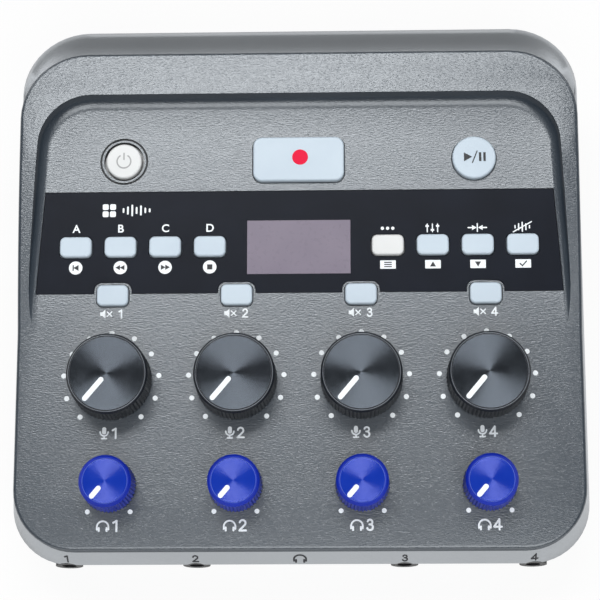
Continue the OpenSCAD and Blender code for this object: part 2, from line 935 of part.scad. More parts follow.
module phone_knob_4() {
  phone_knob(CHANNELS[3]);
}

// Control shafts and potentiometers

module control_shaft(top) {
  flat_from = bushing_top + 0.3;
  color(STEEL) {
    translate([0, 0, -collar_low])
      cylinder(r = shaft_radius, h = collar_low + flat_from);
    translate([0, 0, -collar_low])
      cylinder(r = collar_radius, h = collar_low - collar_top);
    translate([0, 0, flat_from - 0.2])
      linear_extrude(top - 2.6 - flat_from + 0.2)
        shaft_section(0);
  }
}

module gain_shaft_1() {
  at_channel(CHANNELS[0], 0)
    control_shaft(gain_height);
}

module gain_shaft_2() {
  at_channel(CHANNELS[1], 0)
    control_shaft(gain_height);
}

module gain_shaft_3() {
  at_channel(CHANNELS[2], 0)
    control_shaft(gain_height);
}

module gain_shaft_4() {
  at_channel(CHANNELS[3], 0)
    control_shaft(gain_height);
}

module phone_shaft_1() {
  at_channel(CHANNELS[0], -phone_row)
    control_shaft(phone_height);
}

module phone_shaft_2() {
  at_channel(CHANNELS[1], -phone_row)
    control_shaft(phone_height);
}

module phone_shaft_3() {
  at_channel(CHANNELS[2], -phone_row)
    control_shaft(phone_height);
}

module phone_shaft_4() {
  at_channel(CHANNELS[3], -phone_row)
    control_shaft(phone_height);
}

module pot(side) {
  difference() {
    union() {
      translate([-side / 2, -side / 2, -panel_board_top])
        cube([side, side, panel_board_top - pot_top]);
      translate([0, 0, -pot_top - 0.2])
        cylinder(r = bushing_radius, h = pot_top + 0.2 + bushing_top);
    }
    translate([0, 0, -collar_low])
      cylinder(r = shaft_radius + shaft_clearance, h = collar_low + bushing_top + cut);
    translate([0, 0, -collar_low - 0.15])
      cylinder(r = collar_radius + 0.15, h = collar_low - collar_top + 0.3);
  }
}

module gain_pots() {
  color(STEEL)
    for (c = CHANNELS)
      at_channel(c, 0)
        pot(gain_pot_side);
}

module phone_pots() {
  color(STEEL)
    for (c = CHANNELS)
      at_channel(c, -phone_row)
        pot(phone_pot_side);
}

// Boards inside

module tact_switch(x, y) {
  translate([x - switch_side / 2, y - switch_side / 2, -panel_board_top])
    cube([switch_side, switch_side, switch_height]);
  translate([x, y, switch_height - panel_board_top - 0.2])
    cylinder(d = 3.2, h = panel_board_top - switch_height - plunger_top + 0.2);
}

module key_switches() {
  color([0.1, 0.1, 0.1])
    on_panel() {
      for (x = concat(PADS, KEYS))
        tact_switch(x, pad_row);
      for (c = CHANNELS)
        tact_switch(c * channel_pitch, mute_row);
      for (x = [-side_button, 0, side_button])
        tact_switch(x, top_row);
    }
}

module panel_board() {
  color(BOARD)
    on_panel()
      difference() {
        translate([-panel_board_half, -panel_board_front, -panel_board_low])
          cube([2 * panel_board_half, panel_board_front + panel_board_rear, board_thickness]);
        for (p = PANEL_SCREWS)
          translate([p[0], p[1], -panel_board_low - cut])
            cylinder(d = 2.4, h = board_thickness + 2 * cut);
      }
}

module screw(head, head_height, shank, length) {
  difference() {
    union() {
      translate([0, 0, -head_height])
        cylinder(d = head, h = head_height);
      translate([0, 0, -0.2])
        cylinder(d = shank, h = length + 0.2);
    }
    for (a = [0, 90])
      rotate([0, 0, a])
        translate([-head * 0.3, -0.35, -head_height - cut])
          cube([head * 0.6, 0.7, head_height * 0.6 + cut]);
  }
}

module panel_screws() {
  color(STEEL)
    on_panel()
      for (p = PANEL_SCREWS)
        translate([p[0], p[1], -panel_board_low])
          screw(4.4, 1.4, 2, 6.2);
}

module main_board() {
  color(BOARD)
    difference() {
      translate([0, (main_board_front + main_board_rear) / 2, main_board_low])
        linear_extrude(board_thickness)
          round_rect(2 * main_board_half, main_board_rear - main_board_front, 8);
      case_screw_spots()
        cylinder(r = 5, h = 30);
      for (p = MAIN_SCREWS)
        translate([p[0], p[1], main_board_low - cut])
          cylinder(d = 3, h = board_thickness + 2 * cut);
    }
}

module main_screws() {
  color(STEEL)
    for (p = MAIN_SCREWS)
      translate([p[0], p[1], main_board_top])
        mirror([0, 0, 1])
          screw(5, 1.6, 2.6, 5.4);
}

module input_board() {
  color(BOARD)
    difference() {
      translate([-input_board_half, input_board_front, floor_top])
        cube([2 * input_board_half, board_thickness, input_board_top - floor_top]);
      mic_contact_spots()
        translate([0, 0, -40])
          cylinder(d = 1.7, h = 60);
    }
}

// Sockets

// Places children at each microphone socket, z out of the rear wall from its face
module mic_spots() {
  for (x = MICS)
    translate([x, mic_face, mic_axis_height])
      rotate([-90, 0, 0])
        children();
}

module mic_contact_spots() {
  mic_spots()
    for (a = [30, 150, 270])
      rotate([0, 0, a])
        translate([mic_contact_circle, 0, 0])
          children();
}

module mic_shells() {
  color([0.08, 0.08, 0.09])
    mic_spots()
      difference() {
        translate([0, 0, -mic_depth - mic_back])
          cylinder(d = mic_outer, h = mic_depth + mic_back);
        translate([0, 0, -mic_depth - mic_back - cut])
          cylinder(d = mic_bore, h = mic_depth + mic_back + 2 * cut);
        translate([-1.2, mic_bore / 2 - 0.5, -mic_depth])
          cube([2.4, 1.1, mic_depth + cut]);
      }
}

// Insert that closes the shell's rear and carries the contacts
module mic_inserts() {
  color([0.15, 0.15, 0.16])
    difference() {
      mic_spots() {
        translate([0, 0, -mic_depth - mic_back])
          cylinder(d = mic_bore - 2 * rest_gap, h = mic_back);
        translate([0, 0, -mic_depth - 1])
          cylinder(d = mic_insert, h = mic_depth + 0.1);
      }
      mic_contact_spots() {
        translate([0, 0, -mic_depth])
          cylinder(d = mic_contact_bore + 0.7, h = mic_depth + cut);
        translate([0, 0, -mic_depth - mic_back - cut])
          cylinder(d = 1.6, h = mic_back + 2 * cut);
      }
    }
}

module mic_contacts() {
  length = mic_depth - 1.6;
  color([0.8, 0.65, 0.3])
    mic_contact_spots() {
      difference() {
        translate([0, 0, -mic_depth])
          cylinder(d = mic_contact_bore + 0.6, h = length);
        translate([0, 0, 1 - mic_depth])
          cylinder(d = mic_contact_bore, h = length);
      }
      translate([0, 0, -mic_depth - mic_back - board_thickness - 1])
        cylinder(d = 1.4, h = mic_back + board_thickness + 1.2);
    }
}

// Jack with its axis along z at a height, face at z = 0, body behind, board side towards -y
module jack(collar, neck, height) {
  difference() {
    union() {
      translate([0, 0, -neck - 0.5])
        cylinder(d = collar, h = neck + 0.5);
      translate([-3.5, main_board_top - height, -jack_length])
        cube([7, height - main_board_top + 3, jack_length - neck]);
    }
    translate([0, 0, -jack_depth])
      cylinder(d = jack_bore, h = jack_depth + cut);
  }
}

module headphone_jacks() {
  color([0.07, 0.07, 0.08])
    for (x = PHONE_JACKS)
      translate([x, phone_jack_face, jack_axis_height])
        rotate([90, 0, 0])
          jack(phone_collar, 4.4, jack_axis_height);
}

module side_jacks() {
  color([0.07, 0.07, 0.08])
    for (y = SIDE_JACKS)
      translate([side_jack_face, y, side_axis_height])
        rotate([90, 0, 90])
          jack(side_collar, 4.2, side_axis_height);
}

module usb_socket() {
  length = 9;
  color(STEEL)
    translate([-usb_face, usb_y, main_board_top + usb_height / 2])
      rotate([90, 0, 90]) {
        difference() {
          linear_extrude(length)
            round_rect(usb_width, usb_height, 1.5);
          translate([0, 0, -cut])
            linear_extrude(length - 1 + cut)
              round_rect(usb_width - 0.6, usb_height - 0.6, 1.2);
        }
        translate([-3.35, -0.35, 1])
          cube([6.7, 0.7, length - 1.5]);
      }
}

module card_slot() {
  length = 25;
  color(STEEL)
    translate([-card_face, card_y - card_width / 2 - 1, main_board_top])
      difference() {
        cube([length, card_width + 2, card_height + 1]);
        translate([-cut, 1, 0.5])
          cube([length - 1 + cut, card_width, card_height]);
      }
}

// Underside

module battery_door() {
  color(SMOOTH)
    translate([0, bay_y, foot_height])
      difference() {
        union() {
          translate([-door_width / 2, -door_length / 2, 0])
            cube([door_width, door_length, door_thickness]);
          translate([-door_width / 2 - tongue_reach, -door_length / 2, door_thickness - tongue_thickness])
            cube([door_width + 2 * tongue_reach, door_length, tongue_thickness]);
        }
        for (i = [0:4])
          translate([-9, -door_length / 2 + 4 + 1.6 * i, -cut])
            cube([18, 0.8, cut + 0.5]);
      }
}

module battery_cell() {
  translate([-cell_length / 2, 0, 0])
    rotate([0, 90, 0])
      cylinder(d = cell_diameter, h = cell_length);
  translate([cell_length / 2 - 0.2, 0, 0])
    rotate([0, 90, 0])
      cylinder(d = 5.3, h = 1.4);
}

module battery_cells() {
  color([0.75, 0.6, 0.2])
    translate([0, bay_y, cell_z]) {
      translate([0, -cell_y, 0])
        battery_cell();
      translate([0, cell_y, 0])
        mirror([1, 0, 0])
          battery_cell();
    }
}

// Leaf contact at the end of a cell, its plate on the bay's wall at x = 0, reaching to -x
module leaf_contact(reach) {
  translate([-0.4, -5, -6])
    cube([0.4, 10, 12]);
  translate([0, 3, 0])
    rotate([90, 0, 0])
      linear_extrude(6)
        polygon([[-0.2, -5], [-reach, 0], [-0.2, 5], [-0.2, 4], [0.4 - reach, 0], [-0.2, -4]]);
}

module battery_contacts() {
  gap = bay_half - cell_length / 2;
  color(STEEL)
    translate([0, bay_y, cell_z])
      for (s = [-1, 1])
        scale([s, s, 1]) {
          translate([bay_half, -cell_y, 0])
            leaf_contact(gap - 1.3);
          translate([bay_half, cell_y, 0])
            leaf_contact(gap - 0.1);
        }
}

module rubber_feet() {
  color([0.04, 0.04, 0.04])
    for (x = [-1, 1], y = [-1, 1])
      translate([x * foot_x, y * foot_y, 0])
        rotate_extrude()
          polygon([
            [0, 0], [foot_radius - 0.6, 0], [foot_radius, 0.6],
            [foot_radius, foot_height + 0.6], [0, foot_height + 0.6]
          ]);
}

module case_screws() {
  color(STEEL)
    case_screw_spots()
      translate([0, 0, case_screw_seat])
        screw(5.6, 2.2, 2.9, 18.2);
}

lower_case();
top_cover();
display_overlay();
display_window();
display_module();
power_button();
record_button();
play_button();
pad_a();
pad_b();
pad_c();
pad_d();
key_1();
key_2();
key_3();
key_4();
mute_1();
mute_2();
mute_3();
mute_4();
gain_knob_1();
gain_knob_2();
gain_knob_3();
gain_knob_4();
gain_shaft_1();
gain_shaft_2();
gain_shaft_3();
gain_shaft_4();
phone_knob_1();
phone_knob_2();
phone_knob_3();
phone_knob_4();
phone_shaft_1();
phone_shaft_2();
phone_shaft_3();
phone_shaft_4();
gain_pots();
phone_pots();
key_switches();
panel_board();
panel_screws();
main_board();
main_screws();
input_board();
headphone_jacks();
side_jacks();
mic_shells();
mic_inserts();
mic_contacts();
usb_socket();
card_slot();
battery_door();
battery_cells();
battery_contacts();
rubber_feet();
case_screws();
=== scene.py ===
"""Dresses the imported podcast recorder: finishes for its nodes, knob faces, printed marks and a studio."""

import json
import math
from collections import namedtuple

import bmesh
import bpy
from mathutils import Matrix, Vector
from mathutils.bvhtree import BVHTree

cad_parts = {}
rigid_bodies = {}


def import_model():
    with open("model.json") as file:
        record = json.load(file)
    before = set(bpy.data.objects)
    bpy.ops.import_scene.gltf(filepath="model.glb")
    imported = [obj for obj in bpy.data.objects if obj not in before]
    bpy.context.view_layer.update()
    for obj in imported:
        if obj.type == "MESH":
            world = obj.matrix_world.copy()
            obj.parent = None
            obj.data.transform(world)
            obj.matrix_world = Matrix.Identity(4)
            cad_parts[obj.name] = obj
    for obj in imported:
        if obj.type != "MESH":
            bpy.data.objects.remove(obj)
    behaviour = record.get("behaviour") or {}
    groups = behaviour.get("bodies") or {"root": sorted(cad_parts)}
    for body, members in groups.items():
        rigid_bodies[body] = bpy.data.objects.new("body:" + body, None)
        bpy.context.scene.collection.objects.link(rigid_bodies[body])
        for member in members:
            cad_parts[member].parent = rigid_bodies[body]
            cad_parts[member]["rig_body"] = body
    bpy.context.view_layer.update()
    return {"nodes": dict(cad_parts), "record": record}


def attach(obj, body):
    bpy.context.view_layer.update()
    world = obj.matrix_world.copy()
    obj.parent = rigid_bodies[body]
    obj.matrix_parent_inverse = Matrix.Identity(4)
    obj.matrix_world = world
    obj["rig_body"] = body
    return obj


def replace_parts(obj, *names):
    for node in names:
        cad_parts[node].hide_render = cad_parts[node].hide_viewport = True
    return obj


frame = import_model()

# Sizes are in millimetres. The panel's frame has u to the right, v to the rear and w out of the panel,
# and its origin is on the panel at the middle of the gain-knob row.
MM = 0.001
PANEL_TILT = math.radians(5)
GAIN_ROW_Y = -25.05
GAIN_ROW_Z = 30.6605

# Places of the controls along u
CHANNEL_PITCH = 31.0
CHANNELS = [CHANNEL_PITCH * (i - 1.5) for i in range(4)]
KEY_PITCH = 11.23
KEYS = [22.3 + KEY_PITCH * i for i in range(4)]
PADS = [-u for u in reversed(KEYS)]
SIDE_BUTTON = 44.25
JACKS = [-57.6, -25.8, 25.8, 57.6]

# Rows of the controls and of the print along v
TOP_ROW = 56.3
GROUP_ROW = 43.5
LETTER_ROW = 38.8
SIGN_ROW = 38.3
PLATE_ROW = 28.95
DISC_ROW = 28.7
MUTE_LEGEND_ROW = 16.8
GAIN_ROW = 0.0
GAIN_LEGEND_ROW = -13.2
PHONE_ROW = -26.25
PHONE_DOT_ROW = -32.6
PHONE_LEGEND_ROW = -36.05

# Levels along w, and the row of the front wall's print along z
OVERLAY_TOP = -0.05
PLATE_TOP = OVERLAY_TOP + 0.07
POWER_TOP = 0.7
BUTTON_TOP = 1.5
FRONT_LEGEND_Z = 19.1

# The field of the panel's buttons, where a place below the surface is inside an aperture and gets painted
# shade
FIELD_ROW = 38
FIELD_HALF_DEPTH = 26
FIELD_HALF_WIDTH = 66
FIELD_FADE = 1
APERTURE_SHADE_START = -0.05
APERTURE_FULL_SHADE = -0.15

# Line widths of the signs, as shares of a sign's size
NUMERAL_LINE = 0.165
SIGN_LINE = 0.13
CROSS_LINE = 0.12

# Marks drawn after each other differ in height by a step, so that no two that overlap share a plane
INK_STEP = 0.002
INK_STEPS = 6


def on_panel(u, v, w=0.0):
    """A point of the panel's frame as a point of the part's frame, in metres."""
    y = GAIN_ROW_Y + v * math.cos(PANEL_TILT) - w * math.sin(PANEL_TILT)
    z = GAIN_ROW_Z + v * math.sin(PANEL_TILT) + w * math.cos(PANEL_TILT)
    return Vector((u, y, z)) * MM


def socket_name(word):
    """The name on a node's socket for a keyword, such as base_color."""
    return word.replace("_", " ").title().replace("Ior", "IOR")


class Tone:
    """A shader socket that takes part in Python arithmetic."""

    def __init__(self, finish, socket):
        self.finish, self.socket = finish, socket

    def math(self, operation, first, second):
        return self.finish.node("ShaderNodeMath", {"operation": operation}, {0: first, 1: second})

    def __add__(self, other):
        return self.math("ADD", self, other)

    def __radd__(self, other):
        return self.math("ADD", other, self)

    def __sub__(self, other):
        return self.math("SUBTRACT", self, other)

    def __rsub__(self, other):
        return self.math("SUBTRACT", other, self)

    def __mul__(self, other):
        return self.math("MULTIPLY", self, other)

    def __rmul__(self, other):
        return self.math("MULTIPLY", other, self)

    def __abs__(self):
        return self.math("ABSOLUTE", self, 0.0)

    def larger(self, other):
        return self.math("MAXIMUM", self, other)


class Finish:
    """A procedural material built up around one Principled surface."""

    def __init__(self, name, **constants):
        self.name = name
        self.material = bpy.data.materials.new(name)
        self.material.use_nodes = True
        self.tree = self.material.node_tree
        self.surface = self.tree.nodes["Principled BSDF"]
        for socket, value in constants.items():
            self.surface.inputs[socket_name(socket)].default_value = value
        self.place = self.node("ShaderNodeTexCoord", out="Object")

    def feed(self, node, inputs):
        """Links or sets the sockets of a node."""
        for key, value in inputs.items():
            if isinstance(value, Tone):
                self.tree.links.new(value.socket, node.inputs[key])
            else:
                node.inputs[key].default_value = value

    def node(self, kind, settings=None, inputs=None, out=0):
        """Adds a node and gives one of its outputs."""
        node = self.tree.nodes.new(kind)
        for key, value in (settings or {}).items():
            setattr(node, key, value)
        self.feed(node, inputs or {})
        return Tone(self, node.outputs[out])

    def stretched(self, scale):
        """The place on the surface, scaled along each axis."""
        return self.node("ShaderNodeMapping", inputs={"Vector": self.place, "Scale": scale})

    def noise(self, scale, detail, stretch=(1, 1, 1)):
        """Noise with features of about 1 / scale metres."""
        inputs = {"Vector": self.stretched(stretch), "Scale": scale, "Detail": detail}
        return self.node("ShaderNodeTexNoise", inputs=inputs)

    def cells(self, scale, stretch=(1, 1, 1), feature="F1"):
        """Cells of about 1 / scale metres."""
        inputs = {"Vector": self.stretched(stretch), "Scale": scale}
        return self.node("ShaderNodeTexVoronoi", {"feature": feature}, inputs)

    def span(self, value, low, high, to_low, to_high):
        """The value's span from low to high, carried over to another span and held at its ends."""
        inputs = {0: value, 1: low, 2: high, 3: to_low, 4: to_high}
        return self.node("ShaderNodeMapRange", inputs=inputs)

    def facing_up(self):
        """The upward part of the surface's own direction."""
        normal = self.node("ShaderNodeTexCoord", out="Normal")
        return self.node("ShaderNodeSeparateXYZ", inputs={0: normal}, out="Z")

    def along(self, direction):
        """The place on the surface measured along a direction, in metres from the panel's origin."""
        inputs = {0: self.place, 1: direction}
        reach = self.node("ShaderNodeVectorMath", {"operation": "DOT_PRODUCT"}, inputs, out="Value")
        return reach - on_panel(0, 0).dot(direction)

    def within(self, distance, reach):
        """1 up to a distance of reach millimetres either way, and 0 past it."""
        return self.span(abs(distance), (reach - FIELD_FADE) * MM, reach * MM, 1, 0)

    def painted_aperture_shade(self):
        """The mask of painted shade: 1 below the panel's surface in the field of its buttons, and 0
        elsewhere.
        """
        steps = ((1, 0), (0, 1), (0, 0, 1))
        across, up, out = ((on_panel(*step) - on_panel(0, 0)).normalized() for step in steps)
        below = self.span(self.along(out), APERTURE_FULL_SHADE * MM, APERTURE_SHADE_START * MM, 1, 0)
        side = self.within(self.along(across), FIELD_HALF_WIDTH)
        return below * side * self.within(self.along(up) - FIELD_ROW * MM, FIELD_HALF_DEPTH)

    def mix(self, share, first, second):
        """Two colours mixed by a share of the second."""
        settings = {"data_type": "RGBA"}
        return self.node("ShaderNodeMix", settings, {0: share, 6: first, 7: second}, out=2)

    def relief(self, height, depth):
        """Bump of that depth in millimetres."""
        return self.node("ShaderNodeBump", inputs={"Height": height, "Distance": depth * MM})

    def wear(self, **inputs):
        """Puts tones on the surface's own sockets."""
        self.feed(self.surface, {socket_name(word): value for word, value in inputs.items()})
        return self


def colour(red, green, blue):
    """An sRGB colour in 0 to 255 as the linear colour a shader takes."""
    parts = [c / 255 for c in (red, green, blue)]
    linear = [c / 12.92 if c < 0.04045 else ((c + 0.055) / 1.055) ** 2.4 for c in parts]
    return (*linear, 1.0)


def cover_grain():
    """Charcoal plastic with a moulded leather grain, duller on upright sides, and with painted shade near
    black in the apertures below the panel's surface.
    """
    cool_gloss = (0.93, 0.97, 1.0, 1.0)
    finish = Finish("cover_plastic", specular_ior_level=1.0, ior=1.64, specular_tint=cool_gloss)
    wrinkle = finish.noise(4000, 2, stretch=(0.3, 1, 1))
    pebble = finish.cells(2800, stretch=(0.4, 1, 1))
    grain = wrinkle * 0.8 + pebble * 0.25
    cloud = finish.noise(40, 3)
    upright = finish.span(finish.facing_up(), 0.1, 0.4, 1, 0)
    painted_shade_mask = finish.painted_aperture_shade()
    crest = finish.mix(cloud, colour(48, 57, 67), colour(56, 65, 75))
    skin_tone = finish.mix(finish.span(grain, 0.3, 0.75, 0, 1), colour(40, 49, 58), crest)
    # Painted shade: below the panel's surface in the apertures the cover is painted near black, standing
    # for the shade in the gaps round the buttons.
    tone = finish.mix(painted_shade_mask, skin_tone, colour(8, 9, 11))
    rough = finish.span(grain, 0.3, 0.8, 0.34, 0.26) + upright * 0.55 + painted_shade_mask * 0.5
    return finish.wear(base_color=tone, roughness=rough, normal=finish.relief(grain, 0.065))


def case_satin():
    """Smooth silver-grey satin of the lower case and its battery door."""
    finish = Finish("case_plastic", metallic=0.9)
    cloud = finish.noise(55, 3)
    speckle = finish.noise(5200, 1)
    tone = finish.mix(cloud, colour(172, 176, 180), colour(182, 186, 190))
    rough = finish.span(speckle, 0.3, 0.7, 0.34, 0.42)
    return finish.wear(base_color=tone, roughness=rough, normal=finish.relief(speckle, 0.006))


def moulded(name, dark, light, rough=0.45, scale=2500, depth=0.02, gloss=0.5, **constants):
    """Plain moulded plastic or rubber: a fine even texture and a slight cloud in its colour."""
    finish = Finish(name, specular_ior_level=gloss, **constants)
    fine = finish.noise(scale, 2)
    cloud = finish.noise(90, 3)
    tone = finish.mix(finish.span(cloud, 0.3, 0.7, 0, 1), dark, light)
    roughness = finish.span(fine, 0.3, 0.7, rough - 0.05, rough + 0.05)
    return finish.wear(base_color=tone, roughness=roughness, normal=finish.relief(fine, depth))


def ink(name, dark, light, gloss=0.5):
    """Printed ink, which is smoother than what it lies on."""
    return moulded(name, dark, light, 0.5, 4000, 0.004, gloss)


def brushed(name, dark, light, rough):
    """Metal with short machining streaks."""
    finish = Finish(name, metallic=1.0)
    streak = finish.noise(900, 3, stretch=(1, 1, 0.15))
    cloud = finish.noise(150, 2)
    tone = finish.mix(streak, dark, light)
    roughness = finish.span(cloud, 0.3, 0.7, rough - 0.06, rough + 0.06)
    return finish.wear(base_color=tone, roughness=roughness, normal=finish.relief(streak, 0.008))


def spun(name, dark, light, rough, **constants):
    """The face or the edge of a knob; its rings are turned in the mesh."""
    finish = Finish(name, **constants)
    cloud = finish.noise(260, 3)
    tone = finish.mix(cloud, dark, light)
    roughness = finish.span(cloud, 0.3, 0.7, rough - 0.04, rough + 0.04)
    return finish.wear(base_color=tone, roughness=roughness)


def board_laminate():
    """Green circuit board with copper shading under the mask."""
    finish = Finish("board", coat_weight=0.3)
    trace = finish.cells(420, feature="DISTANCE_TO_EDGE")
    copper = finish.span(trace, 0.05, 0.09, 1, 0)
    weave = finish.noise(2600, 2)
    tone = finish.mix(copper, colour(22, 74, 44), colour(46, 110, 62))
    rough = finish.span(weave, 0.3, 0.7, 0.32, 0.44)
    return finish.wear(base_color=tone, roughness=rough, normal=finish.relief(trace, 0.02))


# The finish of each of the record's material slots, by the slot's name
SLOT_FINISHES = [
    cover_grain(),
    case_satin(),
    moulded("overlay_black", colour(11, 17, 28), colour(16, 22, 34), 0.4, 3000, 0.006, gloss=0.12),
    moulded("display_glass", colour(124, 116, 131), colour(131, 123, 137), 0.3, 900, 0.002, gloss=0.2),
    moulded("display_panel", colour(120, 120, 126), colour(134, 134, 140), 0.35),
    moulded("button_white", colour(192, 206, 218), colour(198, 212, 223), 0.4, 1800, 0.008, gloss=0.3),
    moulded("button_cream", colour(220, 222, 222), colour(226, 228, 228), 0.42, 1800, 0.008, gloss=0.3),
    moulded("gain_knob", colour(24, 28, 34), colour(31, 35, 41), 0.42, 2200, 0.015, gloss=0.25),
    moulded("phone_knob", colour(14, 39, 158), colour(19, 47, 174), 0.38, 2200, 0.012, gloss=0.2),
    brushed("steel", colour(150, 152, 155), colour(186, 188, 190), 0.3),
    board_laminate(),
    moulded("switch_black", colour(30, 30, 32), colour(38, 38, 40), 0.5),
    moulded("socket_black", colour(20, 20, 22), colour(28, 28, 31), 0.45, 2000, 0.015, gloss=0.25),
    brushed("contact_brass", colour(196, 160, 84), colour(222, 188, 112), 0.25),
    brushed("contact_steel", colour(170, 172, 174), colour(205, 206, 208), 0.25),
    moulded("cell", colour(52, 76, 66), colour(64, 90, 78), 0.35, coat_weight=0.4),
    moulded("rubber", colour(24, 24, 25), colour(33, 33, 34), 0.75, 3200, 0.05),
]
FINISHES = {finish.name: finish for finish in SLOT_FINISHES}

WHITE_INK = ink("white_ink", colour(240, 246, 250), colour(245, 250, 253))
BLACK_INK = ink("black_ink", colour(24, 26, 31), colour(32, 34, 40))
GREY_INK = ink("grey_ink", colour(158, 159, 160), colour(168, 169, 170))
RED_INK = ink("red_ink", colour(226, 22, 62), colour(234, 30, 70), gloss=0.12)

GAIN_CAP = spun("gain_cap", colour(56, 61, 67), colour(64, 69, 75), 0.2, metallic=0.9)
# The knobs' edge rings are real chamfers, but their light tone is a painted highlight, bright under any
# lamp.
GAIN_EDGE_PAINTED_HIGHLIGHT = spun("gain_edge_painted_highlight", colour(138, 144, 152), colour(150, 156, 164), 0.3, metallic=0.45)
PHONE_CAP = spun(
    "phone_cap", colour(1, 44, 162), colour(5, 52, 172), 0.18, metallic=0.1, specular_ior_level=0.34
)
PHONE_EDGE_PAINTED_HIGHLIGHT = spun("phone_edge_painted_highlight", colour(112, 136, 226), colour(126, 150, 236), 0.3, metallic=0.3)


def draft(name, mesh, finish):
    """A mesh in the part's frame as an object that may still get modifiers."""
    mesh.materials.clear()
    mesh.materials.append(finish.material)
    piece = bpy.data.objects.new(name, mesh)
    bpy.context.scene.collection.objects.link(piece)
    return piece


def baked(piece):
    """Turns an object and its modifiers into one plain mesh."""
    graph = bpy.context.evaluated_depsgraph_get()
    mesh = bpy.data.meshes.new_from_object(piece.evaluated_get(graph))
    piece.modifiers.clear()
    piece.data = mesh
    return piece


def settle(piece, body="case"):
    """Makes a finished object a piece that rides on a body."""
    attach(piece, body)
    return piece


# Points of a CAD mesh nearer than MERGE metres become one, and so do faces within the angle FLAT. An edge
# sharper than CREASE stays an edge, and an eased one gets EASED_STEPS faces.
MERGE = 2e-6
FLAT = math.radians(0.4)
CREASE = math.radians(32)
EASED_STEPS = 2


def skin(node, slot, edge, flats):
    """A merged, smooth copy of a CAD node that stands for it, with its edges eased by edge millimetres."""
    source = frame["nodes"][node]
    form = bmesh.new()
    form.from_mesh(source.data)
    bmesh.ops.remove_doubles(form, verts=form.verts, dist=MERGE)
    bmesh.ops.dissolve_limit(form, angle_limit=FLAT, verts=form.verts, edges=form.edges)
    for face in form.faces:
        face.smooth = True
    for seam in form.edges:
        seam.smooth = seam.calc_face_angle(math.pi) < CREASE
    mesh = bpy.data.meshes.new(node + "_skin")
    form.to_mesh(mesh)
    form.free()
    piece = draft(node + "_skin", mesh, FINISHES[slot])
    if edge:
        bevel = piece.modifiers.new("eased", "BEVEL")
        bevel.width = edge * MM
        bevel.segments = EASED_STEPS
        bevel.limit_method = "ANGLE"
        bevel.angle_limit = CREASE
    if flats:
        normals = piece.modifiers.new("flats", "WEIGHTED_NORMAL")
        normals.keep_sharp = True
        normals.weight = 100
    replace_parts(settle(baked(piece), source["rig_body"]), node)


# How far the edges of the buttons and of the overlay are eased
EASED = {"power_button": 0.25, "record_button": 0.35, "play_button": 0.35, "display_overlay": 0.1}
EASED.update({f"pad_{letter}": 0.2 for letter in "abcd"})
EASED.update({f"{kind}_{number}": 0.2 for kind in ("key", "mute") for number in range(1, 5)})
ROUNDED_SHELLS = ("lower_case", "top_cover")


def skins():
    """A skin for every node of the record."""
    for row in frame["record"]["subparts"]:
        node = row["node"]
        skin(node, row["material_slot"], EASED.get(node, 0.0), node not in ROUNDED_SHELLS)


def round_end(direction, radius, share):
    """A point of a stroke's half-round end, from its right side at 0 to its left side at 1."""
    turn = math.pi * (share - 0.5)
    across = Vector((-direction.y, direction.x))
    return (direction * math.cos(turn) + across * math.sin(turn)) * radius


